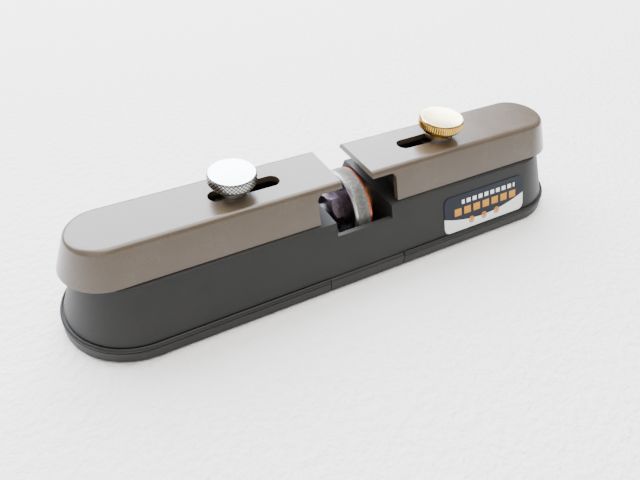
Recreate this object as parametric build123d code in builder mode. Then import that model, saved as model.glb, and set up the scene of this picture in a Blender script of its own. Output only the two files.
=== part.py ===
from build123d import *
import math
import os

# Bench sharpener: a small diamond wheel in a pocket between two sliding covers.
# Millimetres. Origin: centre of the footprint on the bench. +X along the length,
# -Y is the side with the label, +Z up.

# ---- overall sizes -------------------------------------------------------------
deck_z = 24.0                # height of the deck the covers slide on
deck_half_length = 92.8
deck_half_width = 16.2
wall_draft = 19.8            # lean of the housing walls, degrees
rim_z0 = 0.8                 # underside of the rim, lifted by the feet
rim_top = 6.0
rim_proud = 1.3              # how far the rim stands out past the foot of the wall
rim_round = 1.0
groove_width = 0.5           # shadow groove between wall and rim
groove_depth = 0.5
bead_groove_z = 4.5          # fine groove under the bead of the rim
bead_groove_height = 0.35
bead_groove_depth = 0.35
housing_wall = 1.6
deck_thickness = 2.4
deck_round = 0.4

# ---- covers --------------------------------------------------------------------
cover_gap = 0.3              # running gap between cover and deck
cover_height = 12.0
cover_half_length = 97.3     # outer end of each cover, measured along the deck
cover_half_width = 15.0
cover_draft = 20.0
cover_wall = 2.1
cover_plate = 2.2
cover_round = 2.0
cover_inner_end = 6.15       # inner end of the top plate
cover_window_end = 15.8      # inner end of the side walls
window_round = 2.2
slot_inner = 24.2            # ends of the slot, measured along the deck
slot_outer = 49.2
slot_gap = 0.5               # thumb screw shank to the slot, each side
rib_thickness = 1.5
rib_height = 6.5
rib_inner = 24.0
rib_outer = 74.0

# ---- guide rails and clamp inserts ---------------------------------------------
rail_inner = 20.0
rail_outer = 79.0
rail_half_width = 8.5
rail_side_gap = 0.3          # cover rib to rail
rail_top_gap = 0.3           # rail to the plate of the cover
rail_wall = 2.0
left_screw_x = -40.6         # thumb screws, along the length
right_screw_x = 43.0
insert_radius = 3.6
insert_length = 10.0
insert_core = 6.0            # half length of solid rail left around an insert
channel_gap = 0.7            # how much wider the channel in the rail is, each side

# ---- wheel pocket --------------------------------------------------------------
pocket_x0 = -10.4            # ends of the pocket, along the length
pocket_x1 = 12.2
notch_z = 19.4               # bottom of the notch in the front and rear walls
pocket_wall = 3.0
axle_z = 15.6
axle_radius = 2.5
running_gap = 0.04           # radial gap of a turning fit
press_gap = 0.02             # radial gap of a fixed fit
bush_radius = 4.5
bush_flange_radius = 5.5
bush_flange = 1.0
end_play = 0.2
axle_end_gap = 0.2           # axle stops this far inside the outer face of the bush

# ---- wheel stack, stations along the axle --------------------------------------
wheel_radius = 14.4
wheel_x0 = -0.2
wheel_x1 = 6.3
bevel_width = 0.6
bevel_drop = 0.7             # radius lost over the bevel
bevel_band = 0.7             # land left inside the bevel
ring_thickness = 0.8         # copper backing ring
ring_drop = 0.15
grit_depth = 2.2
face_recess = 1.6            # hub face set back inside the rim
nut_across_flats = 12.2
nut_turn = 47.0              # degrees its first corner stands above the horizontal
nut_x0 = -5.0
nut_x1 = -0.9
nut_chamfer = 1.0
washer_wheel_radius = 6.6
left_spacer_radius = 3.5
right_spacer_radius = 4.2

# ---- base plate, feet and screws -----------------------------------------------
plate_thickness = 2.2
plate_gap = 0.25
tab_half_length = 15.5
tab_gap = 0.3
tab_top_gap = 0.35
tab_depth = 6.0
dust_half_length = 3.9       # opening under the wheel
dust_half_width = 9.6
foot_x = 80.0
foot_y = 9.0
foot_radius = 4.5
foot_recess = 0.5
foot_edge = 0.2
post_x = 60.0
post_y = 12.0
post_radius = 3.2
screw_radius = 1.4
screw_head_radius = 2.7
screw_head_height = 1.3
screw_length = 10.0
screw_gap = 0.15
drive_radius = 1.1
drive_depth = 0.8

# ---- thumb screws --------------------------------------------------------------
shank_radius = 2.5
clamp_gap = 0.05             # washer to cover
left_washer_radius = 4.3
right_washer_radius = 5.2
washer_thickness = 0.9
left_neck_radius = 3.5
right_neck_radius = 4.0
head_top = 7.6               # top of the head above the cover
steel_head_radius = 8.0
steel_head_height = 4.3
steel_chamfer = 0.8
brass_head_radius = 8.3
brass_band_height = 3.5
brass_taper_height = 2.0
brass_taper_radius = 5.6
top_chamfer = 0.35

# ---- label ---------------------------------------------------------------------
label_x0 = 35.4
label_x1 = 75.6
label_z0 = 6.2
label_z1 = 19.8
label_round = 2.5
label_thickness = 0.25

# ---- derived -------------------------------------------------------------------
lean = math.tan(math.radians(wall_draft))
wall_run = (deck_z - rim_top) * lean
foot_half_length = deck_half_length + wall_run
foot_half_width = deck_half_width + wall_run
rim_half_length = foot_half_length + rim_proud
rim_half_width = foot_half_width + rim_proud
inner_run = (deck_z - rim_z0) * lean - housing_wall
inner_half_length = deck_half_length + inner_run
inner_half_width = deck_half_width + inner_run
inner_height = deck_z - deck_thickness - rim_z0
inner_top = deck_z - deck_thickness
plate_top = rim_z0 + plate_thickness
cover_z0 = deck_z + cover_gap
cover_top = cover_z0 + cover_height
slot_width = 2 * (shank_radius + slot_gap)
screw_stations = (("left", -1, left_screw_x), ("right", 1, right_screw_x))
plate_under = cover_top - cover_plate
rail_top = plate_under - rail_top_gap
insert_z0 = rail_top - insert_length
pocket_middle = (pocket_x0 + pocket_x1) / 2
pocket_ends = (("left", -1, pocket_x0), ("right", 1, pocket_x1))
dust_x = (wheel_x0 + wheel_x1) / 2
rim_x0 = wheel_x0 + bevel_width
rim_x1 = wheel_x1 - ring_thickness
hub_radius = wheel_radius - grit_depth
washer_z0 = cover_top + clamp_gap
neck_z0 = washer_z0 + washer_thickness
head_z1 = cover_top + head_top

os.makedirs("parts", exist_ok=True)


def save(part, name):
    """Give the solid its name and write it out under that name."""
    part.label = name
    export_step(part, f"parts/{name}.step")


def obround(half_length, half_width):
    """Straight-sided outline with round ends, along X."""
    SlotOverall(2 * half_length, 2 * half_width)


def block(x0, x1, y0, y1, z0, z1, mode=Mode.ADD):
    """Rectangular block between two corners."""
    with Locations(((x0 + x1) / 2, (y0 + y1) / 2, (z0 + z1) / 2)):
        Box(abs(x1 - x0), abs(y1 - y0), abs(z1 - z0), mode=mode)


def disc(radius, x0, x1, mode=Mode.ADD):
    """Cylinder on the axle between two stations along X."""
    with Locations(Location(((x0 + x1) / 2, 0, axle_z), (0, 90, 0))):
        Cylinder(radius, abs(x1 - x0), mode=mode)


def post(x, y, radius, z0, z1, mode=Mode.ADD):
    """Upright cylinder."""
    with Locations((x, y, (z0 + z1) / 2)):
        Cylinder(radius, z1 - z0, mode=mode)


# ---- housing -------------------------------------------------------------------
with BuildPart() as base_housing:
    # leaning walls up to the deck, with a softened deck edge
    with BuildSketch(Plane.XY.offset(rim_top)):
        obround(foot_half_length, foot_half_width)
    extrude(amount=deck_z - rim_top, taper=wall_draft)
    fillet(base_housing.edges().group_by(Axis.Z)[-1], deck_round)
    # rounded rim round the foot, and the fine groove that sets it off
    with BuildSketch(Plane.XY.offset(rim_z0)):
        obround(rim_half_length, rim_half_width)
    extrude(amount=rim_top - rim_z0)
    outer_edges = base_housing.edges().filter_by_position(Axis.Z, rim_top, rim_top).filter_by(
        lambda e: abs(e.center().Y) > foot_half_width + groove_width
        or abs(e.center().X) > foot_half_length + groove_width
    )
    fillet(outer_edges, rim_round)
    with BuildSketch(Plane.XY.offset(rim_top)):
        obround(foot_half_length + groove_width, foot_half_width + groove_width)
        SlotOverall(2 * foot_half_length, 2 * foot_half_width, mode=Mode.SUBTRACT)
    extrude(amount=-groove_depth, mode=Mode.SUBTRACT)
    with BuildSketch(Plane.XY.offset(bead_groove_z)):
        obround(rim_half_length + 1, rim_half_width + 1)
        SlotOverall(2 * (rim_half_length - bead_groove_depth),
                    2 * (rim_half_width - bead_groove_depth), mode=Mode.SUBTRACT)
    extrude(amount=bead_groove_height, mode=Mode.SUBTRACT)
    # hollow inside
    with BuildSketch(Plane.XY.offset(rim_z0)):
        obround(inner_half_length, inner_half_width)
    extrude(amount=inner_height, taper=wall_draft, mode=Mode.SUBTRACT)
    # cross walls that close the pocket and carry the axle
    for _, side, pocket_x in pocket_ends:
        with BuildSketch(Plane.YZ.offset(pocket_x + side * pocket_wall / 2)):
            with BuildLine():
                low = plate_top + plate_gap
                half_low = inner_half_width - (low - rim_z0) * lean + housing_wall / 2
                half_high = inner_half_width - (inner_top - rim_z0) * lean + housing_wall / 2
                Polyline(
                    (-half_low, low),
                    (half_low, low),
                    (half_high, inner_top + deck_thickness / 2),
                    (-half_high, inner_top + deck_thickness / 2),
                    close=True,
                )
            make_face()
        extrude(amount=pocket_wall / 2, both=True)
    # guide rails, solid round each clamp insert and hollow elsewhere, with a channel
    # under the slot of the cover
    for _, side, screw_x in screw_stations:
        block(side * rail_inner, side * rail_outer, -rail_half_width, rail_half_width,
              inner_top, rail_top)
        hollow_y = rail_half_width - rail_wall
        channel_y = slot_width / 2 + channel_gap
        for x0, x1 in (
            (side * (rail_inner + rail_wall), screw_x - side * insert_core),
            (screw_x + side * insert_core, side * (rail_outer - rail_wall)),
        ):
            block(x0, x1, -hollow_y, hollow_y, rim_top, rail_top - rail_wall, Mode.SUBTRACT)
            block(x0, x1, -channel_y, channel_y, rim_top, rail_top + 1, Mode.SUBTRACT)
        post(screw_x, 0, insert_radius + press_gap, insert_z0, rail_top + 1, Mode.SUBTRACT)
        post(screw_x, 0, shank_radius + 1, inner_top - 1, insert_z0, Mode.SUBTRACT)
    # opening for the wheel, cut down into both long walls
    block(pocket_x0, pocket_x1, -deck_half_width * 2, deck_half_width * 2,
          notch_z, deck_z + 1, Mode.SUBTRACT)
    disc(bush_radius + press_gap, pocket_x0 - pocket_wall - 1, pocket_x1 + pocket_wall + 1,
         Mode.SUBTRACT)
    # posts for the base plate screws
    for x in (-post_x, post_x):
        for y in (-post_y, post_y):
            post(x, y, post_radius, plate_top + plate_gap, inner_top + deck_thickness / 2)
            post(x, y, screw_radius - press_gap * 3, plate_top, plate_top + screw_length,
                 Mode.SUBTRACT)
    # gaps in the rim for the two tabs of the base plate
    for side in (-1, 1):
        block(-tab_half_length - tab_gap, tab_half_length + tab_gap,
              side * (inner_half_width - tab_depth), side * (rim_half_width + 1),
              rim_z0 - 1, rim_top, Mode.SUBTRACT)
save(base_housing.part, "base_housing")

# ---- base plate with its two tabs ----------------------------------------------
with BuildPart() as base_plate:
    with BuildSketch(Plane.XY.offset(rim_z0)):
        obround(inner_half_length - plate_gap, inner_half_width - plate_gap)
    extrude(amount=plate_thickness, taper=wall_draft)
    # dust opening under the wheel
    block(dust_x - dust_half_length, dust_x + dust_half_length,
          -dust_half_width, dust_half_width, rim_z0 - 1, plate_top + 1, Mode.SUBTRACT)
    for side in (-1, 1):
        block(-tab_half_length, tab_half_length,
              side * (inner_half_width - tab_depth + plate_gap), side * rim_half_width,
              rim_z0, rim_top - tab_top_gap)
    tab_edges = base_plate.edges().filter_by(Axis.X).group_by(Axis.Z)[-1].filter_by(
        lambda e: abs(e.center().Y) > rim_half_width - 0.1
    )
    fillet(tab_edges, rim_round)
    # countersunk screw holes, opening downwards
    for x in (-post_x, post_x):
        for y in (-post_y, post_y):
            post(x, y, screw_radius + screw_gap, rim_z0 - 1, plate_top + 1, Mode.SUBTRACT)
            with Locations((x, y, rim_z0 + screw_head_height / 2)):
                Cone(screw_head_radius + screw_gap, screw_radius + screw_gap,
                     screw_head_height, mode=Mode.SUBTRACT)
    # seats for the feet
    for x in (-foot_x, foot_x):
        for y in (-foot_y, foot_y):
            post(x, y, foot_radius + press_gap, rim_z0, rim_z0 + foot_recess, Mode.SUBTRACT)
save(base_plate.part, "base_plate")

# ---- rubber feet and base screws, one at each corner ---------------------------
for end, x_sign in (("left", -1), ("right", 1)):
    for row, y_sign in (("front", -1), ("rear", 1)):
        with BuildPart() as foot:
            post(x_sign * foot_x, y_sign * foot_y, foot_radius, 0, rim_z0 + foot_recess - press_gap)
            fillet(foot.edges().group_by(Axis.Z)[0], foot_edge)
        save(foot.part, f"foot_{end}_{row}")

        screw_at = (x_sign * post_x, y_sign * post_y)
        with BuildPart() as base_screw:
            with Locations((*screw_at, rim_z0 + screw_head_height / 2 + press_gap)):
                Cone(screw_head_radius, screw_radius - press_gap * 4, screw_head_height)
            post(*screw_at, screw_radius - press_gap * 4, rim_z0 + screw_head_height, screw_length)
            with BuildSketch(Plane.XY.offset(rim_z0)):
                with Locations(screw_at):
                    RegularPolygon(drive_radius, 6)
            extrude(amount=drive_depth, mode=Mode.SUBTRACT)
        save(base_screw.part, f"base_screw_{end}_{row}")

# ---- label on the front wall ---------------------------------------------------
label_mid_z = (label_z0 + label_z1) / 2
label_mid_y = -(deck_half_width + (deck_z - label_mid_z) * lean)
label_face = Plane(
    origin=((label_x0 + label_x1) / 2, label_mid_y, label_mid_z),
    x_dir=(1, 0, 0),
    z_dir=(0, -math.cos(math.radians(wall_draft)), math.sin(math.radians(wall_draft))),
)
with BuildPart() as label:
    with BuildSketch(label_face):
        slope_height = (label_z1 - label_z0) / math.cos(math.radians(wall_draft))
        RectangleRounded(label_x1 - label_x0, slope_height, label_round)
    extrude(amount=label_thickness)
save(label.part, "label")

# ---- threaded inserts and axle bushes ------------------------------------------
for end, _, screw_x in screw_stations:
    with BuildPart() as insert:
        post(screw_x, 0, insert_radius, insert_z0, rail_top)
        post(screw_x, 0, shank_radius + running_gap, insert_z0 - 1, rail_top + 1, Mode.SUBTRACT)
    save(insert.part, f"{end}_insert")

for end, side, pocket_x in pocket_ends:
    with BuildPart() as bush:
        disc(bush_radius, pocket_x + side * pocket_wall, pocket_x)
        disc(bush_flange_radius, pocket_x, pocket_x - side * bush_flange)
        disc(axle_radius + running_gap, pocket_x + side * (pocket_wall + 1), pocket_middle,
             Mode.SUBTRACT)
    save(bush.part, f"{end}_bush")

# ---- wheel stack on the axle ---------------------------------------------------
axle_x0 = pocket_x0 - pocket_wall + axle_end_gap
axle_x1 = pocket_x1 + pocket_wall - axle_end_gap
stack_x0 = pocket_x0 + bush_flange + end_play
stack_x1 = pocket_x1 - bush_flange - end_play
bore = axle_radius + press_gap

with BuildPart() as wheel_axle:
    disc(axle_radius, axle_x0, axle_x1)
    chamfer(wheel_axle.edges(), 0.3)
save(wheel_axle.part, "wheel_axle")

with BuildPart() as wheel_hub:
    disc(hub_radius, rim_x0 + face_recess, rim_x1)
    disc(bore, axle_x0, axle_x1, Mode.SUBTRACT)
save(wheel_hub.part, "wheel_hub")

with BuildPart() as diamond_rim:
    disc(wheel_radius, rim_x0, rim_x1)
    disc(hub_radius + press_gap, rim_x0 - 1, rim_x1 + 1, Mode.SUBTRACT)
save(diamond_rim.part, "diamond_rim")

with BuildPart() as bevel_ring:
    with Locations(Location(((wheel_x0 + rim_x0) / 2, 0, axle_z), (0, 90, 0))):
        Cone(wheel_radius - bevel_drop, wheel_radius, bevel_width)
    disc(wheel_radius - bevel_drop - bevel_band, wheel_x0 - 1, rim_x0 + 1, Mode.SUBTRACT)
save(bevel_ring.part, "bevel_ring")

with BuildPart() as backing_ring:
    disc(wheel_radius - ring_drop, rim_x1, wheel_x1)
    disc(bore, rim_x1 - 1, wheel_x1 + 1, Mode.SUBTRACT)
save(backing_ring.part, "backing_ring")

with BuildPart() as wheel_nut:
    with BuildSketch(Plane.YZ.offset(nut_x0)):
        with Locations((0, axle_z)):
            RegularPolygon(nut_across_flats / 2, 6, major_radius=False, rotation=nut_turn)
    extrude(amount=nut_x1 - nut_x0)
    # corners turned off at the outer end
    corner = nut_across_flats / math.sqrt(3)
    with BuildSketch(Plane.XZ):
        with BuildLine():
            Polyline(
                (nut_x0, axle_z + corner - nut_chamfer),
                (nut_x0, axle_z + corner + nut_chamfer),
                (nut_x0 + 2 * nut_chamfer, axle_z + corner + nut_chamfer),
                (nut_x0 + nut_chamfer, axle_z + corner),
                close=True,
            )
        make_face()
    revolve(axis=Axis((0, 0, axle_z), (1, 0, 0)), mode=Mode.SUBTRACT)
    disc(bore, nut_x0 - 1, nut_x1 + 1, Mode.SUBTRACT)
save(wheel_nut.part, "wheel_nut")

with BuildPart() as nut_washer:
    disc(washer_wheel_radius, nut_x1, rim_x0 + face_recess)
    disc(bore, nut_x1 - 1, wheel_x1, Mode.SUBTRACT)
save(nut_washer.part, "nut_washer")

spacers = (
    ("left", stack_x0, nut_x0, left_spacer_radius),
    ("right", wheel_x1, stack_x1, right_spacer_radius),
)
for end, x0, x1, spacer_radius in spacers:
    with BuildPart() as spacer:
        disc(spacer_radius, x0, x1)
        disc(bore, x0 - 1, x1 + 1, Mode.SUBTRACT)
    save(spacer.part, f"{end}_spacer")

# ---- sliding covers ------------------------------------------------------------
# Both are cut from the same long cap; each keeps one round end.
for end, side in (("left", -1), ("right", 1)):
    with BuildPart() as cover:
        with BuildSketch(Plane.XY.offset(cover_z0)):
            obround(cover_half_length, cover_half_width)
        extrude(amount=cover_height, taper=cover_draft)
        fillet(cover.edges().group_by(Axis.Z)[-1], cover_round)
        with BuildSketch(Plane.XY.offset(cover_z0)):
            obround(cover_half_length - cover_wall, cover_half_width - cover_wall)
        extrude(amount=cover_height - cover_plate, taper=cover_draft, mode=Mode.SUBTRACT)
        # keep one side of the middle
        block(side * cover_inner_end, -side * (cover_half_length + 1),
              -cover_half_width * 2, cover_half_width * 2, cover_z0 - 1, cover_top + 1,
              Mode.SUBTRACT)
        # side walls stop short of the plate, with a rounded inner corner
        with BuildSketch(Plane.XZ.offset(-cover_half_width * 2)):
            with BuildLine():
                Polyline(
                    (side * cover_inner_end, plate_under),
                    (side * cover_inner_end, cover_z0 - 1),
                    (side * cover_window_end, cover_z0 - 1),
                    (side * cover_window_end, plate_under - window_round),
                )
                RadiusArc(
                    (side * cover_window_end, plate_under - window_round),
                    (side * (cover_window_end - window_round), plate_under),
                    -side * window_round,
                )
                Line(
                    (side * (cover_window_end - window_round), plate_under),
                    (side * cover_inner_end, plate_under),
                )
            make_face()
        extrude(amount=cover_half_width * 4, mode=Mode.SUBTRACT)
        # ribs that run along the rail
        for wall_side in (-1, 1):
            rib_y = rail_half_width + rail_side_gap
            block(side * rib_inner, side * rib_outer, wall_side * rib_y,
                  wall_side * (rib_y + rib_thickness), plate_under - rib_height, plate_under)
        # slot for the thumb screw
        with BuildSketch(Plane.XY.offset(plate_under - 1)):
            with Locations((side * (slot_inner + slot_outer) / 2, 0)):
                SlotOverall(slot_outer - slot_inner, slot_width)
        extrude(amount=cover_plate + 2, mode=Mode.SUBTRACT)
    save(cover.part, f"{end}_cover")

# ---- thumb screws and their washers --------------------------------------------
washers = (
    ("left", left_screw_x, left_washer_radius),
    ("right", right_screw_x, right_washer_radius),
)
for end, screw_x, washer_radius in washers:
    with BuildPart() as thumb_washer:
        post(screw_x, 0, washer_radius, washer_z0, neck_z0)
        post(screw_x, 0, shank_radius + running_gap, washer_z0 - 1, neck_z0 + 1, Mode.SUBTRACT)
    save(thumb_washer.part, f"{end}_thumb_washer")

steel_head_z0 = head_z1 - steel_head_height
with BuildPart() as left_thumb_screw:
    post(left_screw_x, 0, shank_radius, insert_z0, neck_z0 + 1)
    post(left_screw_x, 0, left_neck_radius, neck_z0 + clamp_gap, steel_head_z0)
    post(left_screw_x, 0, steel_head_radius, steel_head_z0, head_z1)
    head_edges = left_thumb_screw.edges().filter_by(
        lambda e: abs(e.radius - steel_head_radius) < 0.01 if e.geom_type == GeomType.CIRCLE else False
    )
    chamfer(head_edges.group_by(Axis.Z)[0], steel_chamfer)
    chamfer(head_edges.group_by(Axis.Z)[-1], top_chamfer)
save(left_thumb_screw.part, "left_thumb_screw")

band_z0 = head_z1 - brass_band_height
taper_z0 = band_z0 - brass_taper_height
with BuildPart() as right_thumb_screw:
    post(right_screw_x, 0, shank_radius, insert_z0, neck_z0 + 1)
    post(right_screw_x, 0, right_neck_radius, neck_z0 + clamp_gap, taper_z0)
    with Locations((right_screw_x, 0, (taper_z0 + band_z0) / 2)):
        Cone(brass_taper_radius, brass_head_radius, brass_taper_height)
    post(right_screw_x, 0, brass_head_radius, band_z0, head_z1)
    chamfer(right_thumb_screw.edges().group_by(Axis.Z)[-1], top_chamfer)
save(right_thumb_screw.part, "right_thumb_screw")
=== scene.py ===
# %% [markdown]
# # A bench sharpener with two sliding covers
#
# The sharpener is a long, dark plastic housing with round ends. A small diamond wheel sits in a
# pocket in the middle, between two grey-brown covers. Each cover slides under a thumb screw, so
# the gap over the wheel can be set. The solid parts arrive from the CAD model as a fixed frame.
# This lesson gives them their finishes, and models the two knurled thumb screws again, because a
# knurl is a surface detail that CAD leaves plain.

# %% Load the frame
import math

import bmesh
import bpy
from mathutils import Matrix, Vector


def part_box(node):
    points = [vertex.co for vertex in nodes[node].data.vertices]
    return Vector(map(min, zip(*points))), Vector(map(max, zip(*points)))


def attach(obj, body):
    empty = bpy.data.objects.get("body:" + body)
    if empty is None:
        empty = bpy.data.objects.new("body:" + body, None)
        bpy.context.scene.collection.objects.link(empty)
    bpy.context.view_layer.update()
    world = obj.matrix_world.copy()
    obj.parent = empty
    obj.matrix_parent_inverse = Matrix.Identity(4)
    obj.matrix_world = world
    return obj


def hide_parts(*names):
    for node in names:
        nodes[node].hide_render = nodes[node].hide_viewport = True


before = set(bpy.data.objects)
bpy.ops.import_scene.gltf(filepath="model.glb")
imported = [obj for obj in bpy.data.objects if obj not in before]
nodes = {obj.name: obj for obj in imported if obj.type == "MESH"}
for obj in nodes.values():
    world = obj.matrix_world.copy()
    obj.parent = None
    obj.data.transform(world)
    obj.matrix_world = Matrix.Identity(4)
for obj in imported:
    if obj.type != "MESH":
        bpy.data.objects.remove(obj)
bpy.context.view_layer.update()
MM = 0.001
print("nodes loaded:", len(nodes))


# %% [markdown]
# ## Wires and a workbench for finishes
#
# Every finish is a small network of nodes. Written out by hand that is long and hard to read, so
# one class wraps a node's output and lets us write ordinary arithmetic with it: `1 - mask` adds a
# Math node for us. A second class holds the material itself, and its one method `node` adds any
# other node: the settings go in first, because some of them decide which sockets exist, and then
# the values or links.

# %% Arithmetic on node outputs
class Wire:
    """The output of a node, which can be used in a Python expression."""

    def __init__(self, bench, socket):
        self.bench = bench
        self.socket = socket

    def math(self, operation, first, second=None):
        values = [first] if second is None else [first, second]
        settings = {"operation": operation}
        return self.bench.node("ShaderNodeMath", settings, dict(enumerate(values)))

    def __add__(self, other):
        return self.math("ADD", self, other)

    def __radd__(self, other):
        return self.math("ADD", other, self)

    def __sub__(self, other):
        return self.math("SUBTRACT", self, other)

    def __rsub__(self, other):
        return self.math("SUBTRACT", other, self)

    def __mul__(self, other):
        return self.math("MULTIPLY", self, other)

    def __rmul__(self, other):
        return self.math("MULTIPLY", other, self)

    def __truediv__(self, other):
        return self.math("DIVIDE", self, other)

    def __rtruediv__(self, other):
        return self.math("DIVIDE", other, self)

    def __pow__(self, other):
        return self.math("POWER", self, other)

    def __gt__(self, other):
        return self.math("GREATER_THAN", self, other)

    def __lt__(self, other):
        return self.math("LESS_THAN", self, other)

    def most(self, other):
        return self.math("MAXIMUM", self, other)

    def size(self):
        return self.math("ABSOLUTE", self)

    def sine(self):
        return self.math("SINE", self)


# %% The bench on which a finish is put together
class Bench:
    """One material: its node tree, its shader, and the point on the surface being painted."""

    def __init__(self, name):
        self.material = bpy.data.materials.new(name)
        self.material.use_nodes = True
        self.tree = self.material.node_tree
        self.tree.nodes.clear()
        self.shader = self.tree.nodes.new("ShaderNodeBsdfPrincipled")
        output = self.tree.nodes.new("ShaderNodeOutputMaterial")
        self.tree.links.new(self.shader.outputs["BSDF"], output.inputs["Surface"])
        self.point = self.node("ShaderNodeTexCoord", out="Object")

    def node(self, kind, settings=None, inputs=None, out=0):
        made = self.tree.nodes.new(kind)
        for key, value in (settings or {}).items():
            if key == "stops":
                self.set_stops(made.color_ramp, value)
            else:
                setattr(made, key, value)
        for key, value in (inputs or {}).items():
            self.feed(made.inputs[key], value)
        return Wire(self, made.outputs[out])

    def set_stops(self, ramp, stops):
        while len(ramp.elements) < len(stops):
            ramp.elements.new(1.0)
        for element, (place, colour) in zip(ramp.elements, stops):
            element.position = place
            element.color = (*colour, 1.0)

    def feed(self, socket, value):
        if isinstance(value, Wire):
            self.tree.links.new(value.socket, socket)
        elif isinstance(value, tuple) and socket.type == "RGBA":
            socket.default_value = (*value, 1.0)
        else:
            socket.default_value = value

    def set(self, **values):
        """Sets or links the shader's own sockets; Base_Color stands for 'Base Color'."""
        for key, value in values.items():
            self.feed(self.shader.inputs[key.replace("_", " ")], value)

    def axes(self):
        """The three coordinates of the point, in metres."""
        split = self.tree.nodes.new("ShaderNodeSeparateXYZ")
        self.feed(split.inputs[0], self.point)
        return [Wire(self, split.outputs[k]) for k in range(3)]

    def noise(self, scale, detail=3.0, point=None, roughness=0.5):
        inputs = {"Vector": point or self.point, "Scale": scale}
        inputs |= {"Detail": detail, "Roughness": roughness}
        return self.node("ShaderNodeTexNoise", {}, inputs)

    def cells(self, size, wanted):
        """A pattern of cells of the given size: the 'Distance' to each middle, or its 'Color'."""
        inputs = {"Vector": self.point, "Scale": 1.0 / size}
        return self.node("ShaderNodeTexVoronoi", {"feature": "F1"}, inputs, out=wanted)

    def stretch(self, factors):
        """The point with each axis scaled, for grain that runs one way."""
        settings = {"operation": "MULTIPLY"}
        return self.node("ShaderNodeVectorMath", settings, {0: self.point, 1: factors})

    def mix(self, amount, first, second):
        """Colour that goes from first to second as amount goes from 0 to 1."""
        settings = {"data_type": "RGBA"}
        inputs = {"Factor": amount, 6: first, 7: second}
        return self.node("ShaderNodeMix", settings, inputs, out=2)

    def between(self, value, low, high, out_low=0.0, out_high=1.0):
        """Maps low..high to out_low..out_high and holds the ends."""
        inputs = {"Value": value, "From Min": low, "From Max": high}
        inputs |= {"To Min": out_low, "To Max": out_high}
        return self.node("ShaderNodeMapRange", {"clamp": True}, inputs)

    def bump(self, height, distance, strength=1.0):
        inputs = {"Height": height, "Distance": distance, "Strength": strength}
        return self.node("ShaderNodeBump", {}, inputs)


def dress(material, *names):
    """Gives CAD nodes a finish in place of the plain one they came with."""
    for name in names:
        for slot in nodes[name].material_slots:
            slot.material = material
    print(material.name, "->", ", ".join(names))


# %% [markdown]
# ## Moulded plastic
#
# The housing and the covers are injection moulded. The mould has a spark-eroded skin, so the
# plastic carries a very fine even grain, about a quarter of a millimetre across, which spreads
# reflections without hiding them. Handling polishes it a little here and there. A grain from
# noise feeds the bump, and a much larger noise moves the roughness and the colour a little, which
# keeps long flat walls from looking like paper cut-outs. Both plastics are painted darker than
# they would look in plain daylight, because the lamps of this scene are strong.

# %% Recipe for moulded plastic
def moulded_plastic(name, colour, worn, roughness, grain_size, grain_depth, coat, ior):
    bench = Bench(name)
    patches = bench.noise(60.0, detail=4.0)
    grain = bench.noise(1.0 / grain_size, detail=2.0)
    pores = bench.noise(0.6 / grain_size, detail=1.0)
    rub = bench.between(patches, 0.35, 0.7)
    bench.set(
        Base_Color=bench.mix(rub, colour, worn),
        Roughness=roughness + (patches - 0.5) * 0.16 + (grain - 0.5) * 0.08,
        Normal=bench.bump(grain + pores * 0.5, grain_depth),
        Coat_Weight=coat,
        Coat_Roughness=0.28,
        IOR=ior,
    )
    return bench.material


# %% [markdown]
# The housing is a warm near-black. Its walls reflect the bench softly, so it is matte, has no
# coat, and bends light less than most plastics.

# %% Housing and base plate
HOUSING_BLACK = (0.009, 0.009, 0.008)
HOUSING_WORN = (0.013, 0.013, 0.011)
housing_finish = moulded_plastic(
    "housing_plastic", HOUSING_BLACK, HOUSING_WORN,
    roughness=0.5, grain_size=0.28 * MM, grain_depth=0.02 * MM, coat=0.0, ior=1.36,
)
dress(housing_finish, "base_housing", "base_plate")

# %% [markdown]
# The covers are a grey-brown with a satin skin. Seen at a low angle their flat tops mirror the
# bright room, so the roughness is lower and a thin coat adds the last of the sheen.

# %% Covers
COVER_TAUPE = (0.070, 0.050, 0.030)
COVER_WORN = (0.081, 0.059, 0.037)
cover_finish = moulded_plastic(
    "cover_plastic", COVER_TAUPE, COVER_WORN,
    roughness=0.26, grain_size=0.22 * MM, grain_depth=0.006 * MM, coat=0.3, ior=1.49,
)
dress(cover_finish, "left_cover", "right_cover")


# %% [markdown]
# ## Rubber feet
#
# Soft black rubber, dull, with dust caught in its pores.

# %% Rubber
def rubber(name):
    bench = Bench(name)
    dust = bench.between(bench.noise(900.0, detail=5.0), 0.55, 0.75)
    bench.set(
        Base_Color=bench.mix(dust, (0.018, 0.018, 0.018), (0.07, 0.066, 0.06)),
        Roughness=0.78 + dust * 0.15,
        Normal=bench.bump(bench.noise(2600.0), 0.03 * MM),
    )
    return bench.material


FEET = ["foot_left_front", "foot_left_rear", "foot_right_front", "foot_right_rear"]
dress(rubber("rubber"), *FEET)


# %% [markdown]
# ## Turned and plated metal
#
# Metal parts of this size are turned on a lathe. The tool leaves rings round the axis, a fraction
# of a millimetre apart, and they stretch every highlight into a streak. The rings are a wave of
# the distance from the part's own axis and along it, so the recipe is told where that axis stands
# and which way it runs.
#
# A knurled head asks for two more things: painted shade in the valleys between the points of the
# knurl, and a top face painted paler than the metal below it, a painted reflection of the bright
# sky that a polished top mirrors.

# %% Recipe for turned metal
# the pale top is a painted reflection of the bright sky
SKY_REFLECTION_DEPTH = 0.12 * MM        # the pale top reaches this far down, past its shallow dish


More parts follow.
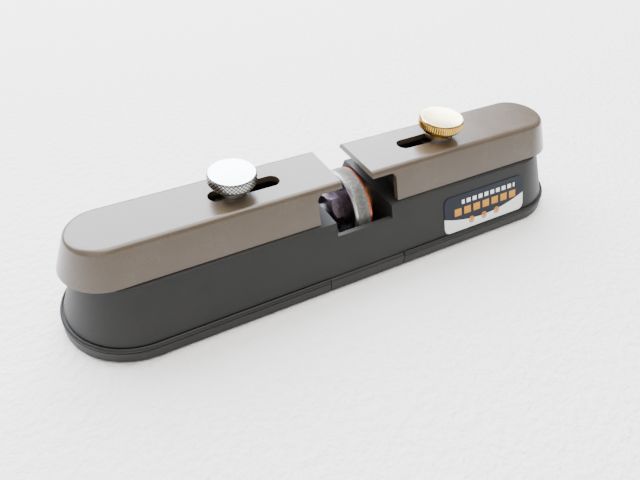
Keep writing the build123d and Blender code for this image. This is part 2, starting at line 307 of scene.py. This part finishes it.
def turned_metal(
    name, colour, dark, roughness, centre, along, ring_pitch, ring_depth, stain=0.3, knurl=None
):
    bench = Bench(name)
    x, y, z = bench.axes()
    offsets = {"x": x - centre[0], "y": y - centre[1], "z": z - centre[2]}
    across = [offsets[key] for key in "xyz" if key != along]
    radius = (across[0] * across[0] + across[1] * across[1]) ** 0.5
    wander = bench.noise(700.0, detail=2.0)
    turns = (radius + offsets[along]) * (2 * math.pi / ring_pitch) + wander * 2.5
    rings = turns.sine() * 0.5 + 0.5
    film = bench.between(bench.noise(160.0, detail=5.0), 0.45, 0.75) * stain
    scuffs = bench.noise(1.0, detail=4.0, point=bench.stretch((900.0, 2400.0, 900.0)))
    paint = bench.mix(film, colour, dark)
    if knurl:
        # painted shade: the valleys of the knurl are painted dark, for the shade that falls between
        # its points
        painted_valley_shade = bench.between(radius, knurl["core"], knurl["core"] + knurl["depth"], 1.0, 0.0)
        on_band = radius > knurl["core"] - knurl["depth"] * 0.3
        # painted reflection: the top face is painted pale, standing for the sky it mirrors
        paint = bench.mix(z > knurl["top"] - SKY_REFLECTION_DEPTH, paint, knurl["face"])
        if knurl["crossings"]:
            # two sets of helical cuts that cross to leave diamonds
            angle = across[1].math("ARCTAN2", across[1], across[0])
            turn = angle * knurl["crossings"] - math.pi / 2
            rise = (z - knurl["foot"]) * (math.pi / knurl["row"])
            cut = (turn + rise).sine().most((turn - rise).sine())
            painted_valley_shade = bench.between(cut, 0.1, 0.6)
        paint = bench.mix(painted_valley_shade * on_band * 0.9, paint, knurl["shade"])
    bench.set(
        Base_Color=paint,
        Metallic=1.0,
        Roughness=roughness + rings * 0.07 + (scuffs - 0.5) * 0.12 + film * 0.15,
        Normal=bench.bump(rings + scuffs * 0.3, ring_depth),
    )
    return bench.material


# %% Where the turned parts stand
LEFT_SCREW_X = -40.6 * MM
RIGHT_SCREW_X = 43.0 * MM
AXLE_Z = 15.6 * MM
AXLE = (0, 0, AXLE_Z)
RIM_MIDDLE = 2.95 * MM        # middle of the wheel's rim along the axle
print("thumb screws stand at x =", LEFT_SCREW_X, "and", RIGHT_SCREW_X)

# %% [markdown]
# The four base screws share one finish, whose rings run round the middle of the base. The inserts
# sit deep in the slots and are painted dark, as painted shade of the slots.

# %% Small screws, washers, inserts and bushes
plain_steel = turned_metal(
    "screw_steel", colour=(0.55, 0.55, 0.54), dark=(0.3, 0.29, 0.27), roughness=0.32,
    centre=(0, 0, 0), along="z", ring_pitch=0.2 * MM, ring_depth=0.006 * MM,
)
BASE_SCREWS = [f"base_screw_{end}_{side}" for end in ("left", "right") for side in ("front", "rear")]
dress(plain_steel, *BASE_SCREWS)
for end, x in (("left", LEFT_SCREW_X), ("right", RIGHT_SCREW_X)):
    washer_steel = turned_metal(
        f"washer_steel_{end}", colour=(0.42, 0.43, 0.41), dark=(0.2, 0.2, 0.18), roughness=0.28,
        centre=(x, 0, 0), along="z", ring_pitch=0.22 * MM, ring_depth=0.008 * MM,
    )
    # painted shade: the inserts' brass is painted dark, for the shade deep in the slots
    shaded_insert_brass = turned_metal(
        f"shaded_insert_brass_{end}", colour=(0.20, 0.14, 0.06), dark=(0.10, 0.06, 0.03), roughness=0.4,
        centre=(x, 0, 0), along="z", ring_pitch=0.3 * MM, ring_depth=0.01 * MM,
    )
    dress(washer_steel, f"{end}_thumb_washer")
    dress(shaded_insert_brass, f"{end}_insert")
bush_bronze = turned_metal(
    "bush_bronze", colour=(0.42, 0.27, 0.14), dark=(0.16, 0.1, 0.05), roughness=0.42,
    centre=AXLE, along="x", ring_pitch=0.3 * MM, ring_depth=0.01 * MM, stain=0.6,
)
dress(bush_bronze, "left_bush", "right_bush")

# %% [markdown]
# ## The wheel
#
# The axle is ground steel and the spacers are darker. The nut and its washer are plated dark,
# with cloudy violet and bronze heat colours. The hub behind the rim is blackened. The bevel on
# the left of the rim is polished bright, and on the right a copper-coloured ring backs the grit.

# %% Axle and spacers
ground_steel = turned_metal(
    "axle_steel", colour=(0.5, 0.5, 0.5), dark=(0.22, 0.2, 0.18), roughness=0.3,
    centre=AXLE, along="x", ring_pitch=0.18 * MM, ring_depth=0.006 * MM, stain=0.5,
)
dark_steel = turned_metal(
    "spacer_steel", colour=(0.10, 0.10, 0.11), dark=(0.04, 0.04, 0.04), roughness=0.42,
    centre=AXLE, along="x", ring_pitch=0.18 * MM, ring_depth=0.006 * MM, stain=0.5,
)
dress(ground_steel, "wheel_axle")
dress(dark_steel, "left_spacer", "right_spacer")


# %% Dark plated nut, with its heat colours
def heat_plated(name, dark, tints, roughness):
    bench = Bench(name)
    clouds = bench.noise(260.0, detail=3.0)
    tint = bench.node("ShaderNodeValToRGB", {"stops": tints}, {"Fac": clouds})
    specks = bench.between(bench.noise(1800.0, detail=3.0), 0.55, 0.7)
    bench.set(
        Base_Color=bench.mix(specks * 0.5, tint, dark),
        Metallic=0.9,
        Roughness=roughness + (clouds - 0.5) * 0.2 + specks * 0.15,
        Normal=bench.bump(bench.noise(2200.0, detail=3.0), 0.01 * MM),
    )
    return bench.material


NUT_TINTS = [
    (0.25, (0.10, 0.08, 0.085)),
    (0.5, (0.20, 0.15, 0.17)),
    (0.8, (0.30, 0.28, 0.38)),
]
nut_steel = heat_plated("nut_steel", dark=(0.06, 0.05, 0.05), tints=NUT_TINTS, roughness=0.3)
dress(nut_steel, "wheel_nut", "nut_washer")
HUB_TINTS = [(0.3, (0.045, 0.036, 0.042)), (0.8, (0.09, 0.07, 0.085))]
hub_black = heat_plated("hub_black", dark=(0.02, 0.018, 0.02), tints=HUB_TINTS, roughness=0.42)
dress(hub_black, "wheel_hub")

# %% Bright bevel and copper ring
bevel_bright = turned_metal(
    "bevel_steel", colour=(0.97, 0.97, 0.97), dark=(0.8, 0.8, 0.8), roughness=0.30,
    centre=AXLE, along="x", ring_pitch=0.12 * MM, ring_depth=0.002 * MM, stain=0.15,
)
dress(bevel_bright, "bevel_ring")
copper_orange = turned_metal(
    "copper_ring", colour=(0.70, 0.13, 0.05), dark=(0.30, 0.03, 0.015), roughness=0.36,
    centre=AXLE, along="x", ring_pitch=0.2 * MM, ring_depth=0.006 * MM, stain=0.8,
)
dress(copper_orange, "backing_ring")


# %% [markdown]
# ## Diamond grit
#
# The rim is covered with diamond grains held in nickel plating. Each grain is a small facet, so a
# cell pattern gives the bump and a different grey to each grain, and a few grains get a painted
# glint, a painted highlight. The grains are about 0.16 mm across. Steel dust from the last
# sharpening leaves a slightly darker band round the middle.

# %% Grit
GRAIN = 0.16 * MM
GRIT_DUSTY = (0.135, 0.13, 0.115)
GRIT_CLEAN = (0.25, 0.245, 0.225)
GRIT_GAP = (0.07, 0.068, 0.06)
GRIT_PAINTED_GLINT = (0.75, 0.75, 0.7)


def diamond_grit(name):
    bench = Bench(name)
    reach = bench.cells(GRAIN, "Distance")
    shade = bench.node("ShaderNodeRGBToBW", {}, {"Color": bench.cells(GRAIN, "Color")})
    x = bench.axes()[0]
    from_middle = bench.between((x - RIM_MIDDLE).size(), 0.4 * MM, 2.2 * MM)
    grain_colour = bench.mix(from_middle, GRIT_DUSTY, GRIT_CLEAN)
    # painted highlight: a few grains are painted pale as glints
    painted_glint = shade > 0.82
    bench.set(
        Base_Color=bench.mix(painted_glint * 0.7, bench.mix(shade, GRIT_GAP, grain_colour), GRIT_PAINTED_GLINT),
        Metallic=0.45,
        Roughness=0.62 - painted_glint * 0.35,
        Normal=bench.bump((1 - reach) * 0.7 + shade * 0.6, 0.06 * MM),
    )
    return bench.material


dress(diamond_grit("grit"), "diamond_rim")


# %% [markdown]
# ## The label
#
# A rounded film with a dark ground, a pale swoosh along its foot and three gold discs across the
# top of the swoosh. The wording is left out: two rows of plain bars stand where the lines of
# print would be. All of it is drawn from the position on the leaning wall: `across` runs along
# the label and `up` runs up the slope, both in millimetres.

# %% What is printed, in millimetres
LABEL_MIDDLE = 55.5           # middle of the label along the length
LABEL_FOOT = 6.2              # height of its lower edge
WALL_LEAN = math.radians(19.8)
SOFT = 0.15                   # printed edges blend over this width
DISC_MIDDLES = ((-6.9, 3.0), (-0.5, 3.0), (6.0, 3.2))
DISC_RADIUS = 1.3
DISC_RING = 0.72              # radius of the fainter ring inside each disc
PALE_ROW = {
    "beat": 2.1, "shift": 0.0, "least": -0.45,
    "middle": 2.0, "half_length": 13.5, "height": 11.4, "half_height": 0.75,
}
GOLD_ROW = {
    "beat": 1.35, "shift": 1.0, "least": -0.6,
    "middle": 1.0, "half_length": 16.2, "height": 7.7, "half_height": 1.35,
}
PALE_PRINT = (0.8, 0.8, 0.78)
SWOOSH = (0.78, 0.78, 0.76)
GROUND = (0.004, 0.006, 0.013)
GROUND_WORN = (0.007, 0.010, 0.019)
GOLD_LOW = (0.42, 0.15, 0.002)
GOLD_HIGH = (0.60, 0.28, 0.02)


def bar_row(bench, across, up, row):
    """A row of plain bars: 1 on each bar and 0 between them. A sine wave sets the beat."""
    bars = (across * row["beat"] + row["shift"]).sine() > row["least"]
    off_height = (up - row["height"]).size()
    off_middle = (across - row["middle"]).size()
    tall = bench.between(off_height, row["half_height"], row["half_height"] + SOFT, 1.0, 0.0)
    wide = bench.between(off_middle, row["half_length"], row["half_length"] + SOFT, 1.0, 0.0)
    return bars * tall * wide


def gold_disc(bench, across, up, disc_x, disc_up):
    """A disc with a fainter ring inside it."""
    distance = ((across - disc_x) ** 2.0 + (up - disc_up) ** 2.0) ** 0.5
    disc = bench.between(distance, DISC_RADIUS, DISC_RADIUS + SOFT, 1.0, 0.0)
    ring = bench.between((distance - DISC_RING).size(), 0.12, 0.22, 0.4, 0.0)
    return disc - ring


# %% Printed film
def printed_film(name):
    bench = Bench(name)
    x, _, z = bench.axes()
    across = x * 1000.0 - LABEL_MIDDLE
    up = (z * 1000.0 - LABEL_FOOT) / math.cos(WALL_LEAN)
    # pale swoosh: low in the middle, rising to both ends
    swoosh_top = 3.3 + (across - 1.0) * (across - 1.0) * 0.0085 + across * 0.035
    pale = bench.between(swoosh_top - up, 0.0, 0.12)
    gold = bar_row(bench, across, up, GOLD_ROW)
    for disc_x, disc_up in DISC_MIDDLES:
        gold = gold.most(gold_disc(bench, across, up, disc_x, disc_up))
    colour = bench.mix(bench.noise(240.0), GROUND, GROUND_WORN)
    colour = bench.mix(pale, colour, SWOOSH)
    colour = bench.mix(bar_row(bench, across, up, PALE_ROW), colour, PALE_PRINT)
    colour = bench.mix(gold, colour, bench.mix(bench.between(up, 1.5, 11.0), GOLD_LOW, GOLD_HIGH))
    bench.set(
        Base_Color=colour,
        Roughness=0.46 + bench.noise(500.0) * 0.1,
        IOR=1.34,
        Normal=bench.bump(bench.noise(350.0), 0.02 * MM),
    )
    return bench.material


dress(printed_film("label_film"), "label")


# %% [markdown]
# ## Knurled thumb screws
#
# The left screw is bright steel with a diamond knurl, the right one brass with a fine straight
# knurl. Each is shaped from one cylinder, its head. The lower face is inset and extruded
# downwards, once for the neck and once for the shank, whose thread is left out, exactly as a
# turner would step down a bar. The knurl comes from rings of small faces: pushing every second
# corner outwards raises a pattern of little pyramids, and pushing out every second column raises
# straight ridges.

# %% Helpers for edit mode
def start_cylinder(name, sides, radius, low, high, x):
    """A capped cylinder, in edit mode with nothing selected."""
    if bpy.context.object and bpy.context.object.mode != "OBJECT":
        bpy.ops.object.mode_set(mode="OBJECT")
    bpy.ops.object.select_all(action="DESELECT")
    bpy.ops.mesh.primitive_cylinder_add(
        vertices=sides, radius=radius, depth=high - low, location=(x, 0, (low + high) / 2),
    )
    made = bpy.context.object
    made.name = name
    bpy.ops.object.transform_apply(location=True, rotation=True, scale=True)
    bpy.ops.object.mode_set(mode="EDIT")
    bpy.ops.mesh.select_all(action="DESELECT")
    return made


def pick(made, kind, test):
    """Selects only the verts, edges or faces that pass the test."""
    bpy.ops.mesh.select_mode(type={"verts": "VERT", "edges": "EDGE", "faces": "FACE"}[kind])
    bpy.ops.mesh.select_all(action="DESELECT")
    mesh = bmesh.from_edit_mesh(made.data)
    count = 0
    for element in getattr(mesh, kind):
        if test(element):
            element.select_set(True)
            count += 1
    mesh.select_flush_mode()
    bmesh.update_edit_mesh(made.data)
    return count


def upright(edge):
    return abs(edge.verts[0].co.z - edge.verts[1].co.z) > 0.1 * MM


def bottom_face(low):
    return lambda face: face.normal.z < -0.9 and abs(face.calc_center_median().z - low) < 1e-5


def step_down(made, low, inset, drop):
    """Insets the lowest face and pulls it down: the next, thinner length of the bar."""
    pick(made, "faces", bottom_face(low))
    bpy.ops.mesh.inset(thickness=inset, depth=0)
    bpy.ops.mesh.extrude_region_move(TRANSFORM_OT_translate={"value": (0, 0, -drop)})
    return low - drop


def narrow(made_x, share):
    """Draws the selection in towards the screw's own axis."""
    bpy.ops.transform.resize(value=(share, share, 1), center_override=(made_x, 0, 0))


def face_top(made, x, rise, share, land, dish_width, dish_depth):
    """Raises the top, draws its edge in, and turns a shallow dish inside a narrow land."""
    pick(made, "faces", lambda face: face.normal.z > 0.9 and len(face.verts) > 8)
    bpy.ops.mesh.extrude_region_move(TRANSFORM_OT_translate={"value": (0, 0, rise)})
    narrow(x, share)
    bpy.ops.mesh.inset(thickness=land, depth=0)
    bpy.ops.mesh.inset(thickness=dish_width, depth=-dish_depth)


def finish_piece(made, smooth_angle):
    bpy.ops.mesh.select_all(action="SELECT")
    bpy.ops.mesh.normals_make_consistent(inside=False)
    bpy.ops.object.mode_set(mode="OBJECT")
    bpy.ops.object.shade_smooth_by_angle(angle=math.radians(smooth_angle))
    print(made.name, "faces:", len(made.data.polygons))


# %% [markdown]
# The heads get their radius and their top from the CAD screws they stand for. Their other sizes
# are written here to match the CAD. The top of each head is faced on the lathe: it is very
# slightly dished inside a narrow raised edge.

# %% Sizes taken from the CAD screws
left_low, left_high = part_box("left_thumb_screw")
right_low, right_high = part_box("right_thumb_screw")
STEEL_RADIUS = (left_high[0] - left_low[0]) / 2
BRASS_RADIUS = (right_high[0] - right_low[0]) / 2
HEAD_TOP = left_high[2]
SHANK_END = left_low[2]
STEEL_HEAD = 4.3 * MM
STEEL_CHAMFER = 0.8 * MM
STEEL_NECK = 3.5 * MM
BRASS_NECK = 4.0 * MM
SHANK_RADIUS = 2.5 * MM
NECK_END = 37.3 * MM
print("steel head radius", STEEL_RADIUS, "brass head radius", BRASS_RADIUS, "top", HEAD_TOP)

# %% Steel screw with a diamond knurl
STEEL_KNURL_DEPTH = 0.34 * MM
STEEL_EDGE = 0.3 * MM         # height of the plain edge above the knurl
KNURL_RADIUS = STEEL_RADIUS - STEEL_KNURL_DEPTH
DIAMONDS = 38
KNURL_ROWS = 5
knurl_low = HEAD_TOP - STEEL_HEAD + STEEL_CHAMFER
knurl_high = HEAD_TOP - STEEL_EDGE
steel_screw = start_cylinder(
    "steel_thumb_screw", sides=2 * DIAMONDS, radius=KNURL_RADIUS,
    low=knurl_low, high=knurl_high, x=LEFT_SCREW_X,
)
pick(steel_screw, "edges", upright)
bpy.ops.mesh.subdivide(number_cuts=KNURL_ROWS - 1)
row_height = (knurl_high - knurl_low) / KNURL_ROWS


def knurl_point(vert):
    row = round((vert.co.z - knurl_low) / row_height)
    angle = math.atan2(vert.co.y, vert.co.x - LEFT_SCREW_X)
    column = round(angle / (math.pi / DIAMONDS))
    return 0 < row < KNURL_ROWS and (row + column) % 2 == 0


print("knurl points:", pick(steel_screw, "verts", knurl_point))
bpy.ops.transform.shrink_fatten(value=STEEL_KNURL_DEPTH)
face_top(
    steel_screw, LEFT_SCREW_X, rise=STEEL_EDGE, share=0.975,
    land=0.35 * MM, dish_width=0.5 * MM, dish_depth=0.08 * MM,
)
# lower chamfer, neck and shank
pick(steel_screw, "faces", bottom_face(knurl_low))
bpy.ops.mesh.extrude_region_move(TRANSFORM_OT_translate={"value": (0, 0, -STEEL_CHAMFER)})
narrow(LEFT_SCREW_X, (KNURL_RADIUS - STEEL_CHAMFER) / KNURL_RADIUS)
level = knurl_low - STEEL_CHAMFER
level = step_down(steel_screw, level, KNURL_RADIUS - STEEL_CHAMFER - STEEL_NECK, level - NECK_END)
step_down(steel_screw, level, STEEL_NECK - SHANK_RADIUS, level - SHANK_END)
finish_piece(steel_screw, smooth_angle=24)

# %% [markdown]
# The brass head is straight at the top and drawn in below, like a mushroom. Its straight knurl is
# fine, so the cylinder starts with many sides and every second upright edge is pushed out a fifth
# of a millimetre.

# %% Brass screw with a straight knurl
RIDGES = 60
BRASS_BAND = 3.5 * MM
BRASS_TAPER = 2.0 * MM
BRASS_TAPER_RADIUS = 5.6 * MM
BRASS_KNURL_DEPTH = 0.22 * MM
BRASS_EDGE = 0.35 * MM        # height of the plain edge above the ridges
RIDGE_END = 0.2 * MM          # the ridges stop this far inside the band
BRASS_CORE = BRASS_RADIUS - BRASS_KNURL_DEPTH
band_low = HEAD_TOP - BRASS_BAND
band_high = HEAD_TOP - BRASS_EDGE
brass_screw = start_cylinder(
    "brass_thumb_screw", sides=2 * RIDGES, radius=BRASS_CORE,
    low=band_low, high=band_high, x=RIGHT_SCREW_X,
)
pick(brass_screw, "edges", upright)
bpy.ops.mesh.subdivide(number_cuts=5)


def ridge_point(vert):
    column = round(math.atan2(vert.co.y, vert.co.x - RIGHT_SCREW_X) / (math.pi / RIDGES))
    inside = band_low + RIDGE_END < vert.co.z < band_high - RIDGE_END
    return inside and column % 2 == 0


print("ridge points:", pick(brass_screw, "verts", ridge_point))
bpy.ops.transform.shrink_fatten(value=BRASS_KNURL_DEPTH)
face_top(
    brass_screw, RIGHT_SCREW_X, rise=BRASS_EDGE, share=0.965,
    land=0.4 * MM, dish_width=0.6 * MM, dish_depth=0.1 * MM,
)
# the underside draws in by three steps of a curve: each one's share of the way down, and of the way in
CURVE = ((0.30, 0.16), (0.35, 0.34), (0.35, 0.50))
level = band_low
radius = BRASS_CORE
for share_down, share_in in CURVE:
    drop = BRASS_TAPER * share_down
    smaller = radius - (BRASS_CORE - BRASS_TAPER_RADIUS) * share_in
    pick(brass_screw, "faces", bottom_face(level))
    bpy.ops.mesh.extrude_region_move(TRANSFORM_OT_translate={"value": (0, 0, -drop)})
    narrow(RIGHT_SCREW_X, smaller / radius)
    radius = smaller
    level -= drop
level = step_down(brass_screw, level, radius - BRASS_NECK, level - NECK_END)
step_down(brass_screw, level, BRASS_NECK - SHANK_RADIUS, level - SHANK_END)
finish_piece(brass_screw, smooth_angle=26)

# %% [markdown]
# The steel is nickel plated. The brass is polished and warm yellow, with painted shade that
# deepens it in the knurl. Both tops carry the fine rings of the facing cut and are painted paler
# than the sides, a painted reflection of the bright sky.

# %% Finishes of the screws
steel_knurl = {
    "core": KNURL_RADIUS, "depth": STEEL_KNURL_DEPTH, "top": HEAD_TOP,
    "crossings": DIAMONDS, "foot": knurl_low, "row": row_height,
    # shade is painted shade in the knurl's valleys; face is a painted reflection of the sky on the top
    "face": (0.76, 0.82, 0.84), "shade": (0.02, 0.018, 0.016),
}
brass_knurl = {
    "core": BRASS_CORE, "depth": BRASS_KNURL_DEPTH, "top": HEAD_TOP, "crossings": 0,
    # shade is painted shade in the knurl's valleys; face is a painted reflection of the sky on the top
    "face": (0.95, 0.84, 0.50), "shade": (0.07, 0.035, 0.006),
}
knob_steel = turned_metal(
    "knob_steel", colour=(0.44, 0.44, 0.42), dark=(0.26, 0.25, 0.23), roughness=0.24,
    centre=(LEFT_SCREW_X, 0, 0), along="z", ring_pitch=0.35 * MM, ring_depth=0.008 * MM,
    knurl=steel_knurl,
)
knob_brass = turned_metal(
    "knob_brass", colour=(0.66, 0.40, 0.09), dark=(0.42, 0.23, 0.04), roughness=0.18,
    centre=(RIGHT_SCREW_X, 0, 0), along="z", ring_pitch=0.35 * MM, ring_depth=0.008 * MM,
    knurl=brass_knurl,
)
steel_screw.data.materials.append(knob_steel)
brass_screw.data.materials.append(knob_brass)
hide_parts("left_thumb_screw")
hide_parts("right_thumb_screw")
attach(steel_screw, "left_screw_body")
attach(brass_screw, "right_screw_body")

# %% [markdown]
# ## Floor, light and camera
#
# The sharpener stands on a pale plaster-like bench top. Three panels light it: a wide cool window
# behind, which the cover tops mirror, a ceiling panel overhead, and a weak warm fill from the
# front left. An even pale sky keeps the dark walls readable. The camera looks down at about forty
# degrees from the front left.

# %% Floor
bpy.ops.object.select_all(action="DESELECT")
bpy.ops.mesh.primitive_plane_add(size=6.0, location=(0, 0, 0))
floor = bpy.context.object
floor.name = "bench_top"
floor_bench = Bench("plaster")
ripples = floor_bench.noise(330.0, detail=5.0, roughness=0.6)
floor_bench.set(
    Base_Color=floor_bench.mix(ripples, (0.90, 0.89, 0.87), (0.96, 0.95, 0.94)),
    Roughness=0.8,
    Normal=floor_bench.bump(ripples, 1.6 * MM, strength=0.8),
)
floor.data.materials.append(floor_bench.material)


# %% Lights
def panel(name, place, width, height, watts, colour):
    """A soft light panel that faces the sharpener."""
    data = bpy.data.lights.new(name, "AREA")
    data.shape = "RECTANGLE"
    data.size = width
    data.size_y = height
    data.energy = watts
    data.color = colour
    lamp = bpy.data.objects.new(name, data)
    bpy.context.collection.objects.link(lamp)
    facing = (-Vector(place)).to_track_quat("-Z", "Y")
    lamp.matrix_world = Matrix.Translation(place) @ facing.to_matrix().to_4x4()


panel("window", (0.0, 1.0, 0.95), width=2.2, height=1.0, watts=112.0, colour=(0.87, 0.90, 1.0))
panel("ceiling", (0.3, 0.1, 1.8), width=1.6, height=1.6, watts=60.0, colour=(1.0, 0.98, 0.95))
panel("fill", (-0.7, -0.9, 0.8), width=1.2, height=1.2, watts=6.0, colour=(1.0, 0.95, 0.88))
world = bpy.data.worlds.new("room")
world.use_nodes = True
room = world.node_tree.nodes["Background"]
room.inputs["Color"].default_value = (0.96, 0.97, 1.0, 1.0)
room.inputs["Strength"].default_value = 0.65
bpy.context.scene.world = world

# %% Camera
SENSOR = 36.0                 # mm wide
LENS = 32.281875              # mm
EYE = Vector((-0.0941, -0.1415, 0.1465))
PITCH = math.radians(40.89)
TURN = math.radians(31.71)
ROLL = math.radians(3.54)
level_ahead = Vector((math.sin(TURN), math.cos(TURN), 0))
ahead = level_ahead * math.cos(PITCH) + Vector((0, 0, -math.sin(PITCH)))
level_right = Vector((math.cos(TURN), -math.sin(TURN), 0))
level_up = level_right.cross(ahead)
right = level_right * math.cos(ROLL) + level_up * math.sin(ROLL)
up = right.cross(ahead)
camera_data = bpy.data.cameras.new("camera")
camera_data.sensor_width = SENSOR
camera_data.lens = LENS
camera_data.clip_start = 0.01
camera = bpy.data.objects.new("camera", camera_data)
bpy.context.collection.objects.link(camera)
turned = Matrix((right, up, -ahead)).transposed().to_4x4()
camera.matrix_world = Matrix.Translation(EYE) @ turned
bpy.context.scene.camera = camera
print("camera lens", round(camera_data.lens, 2))
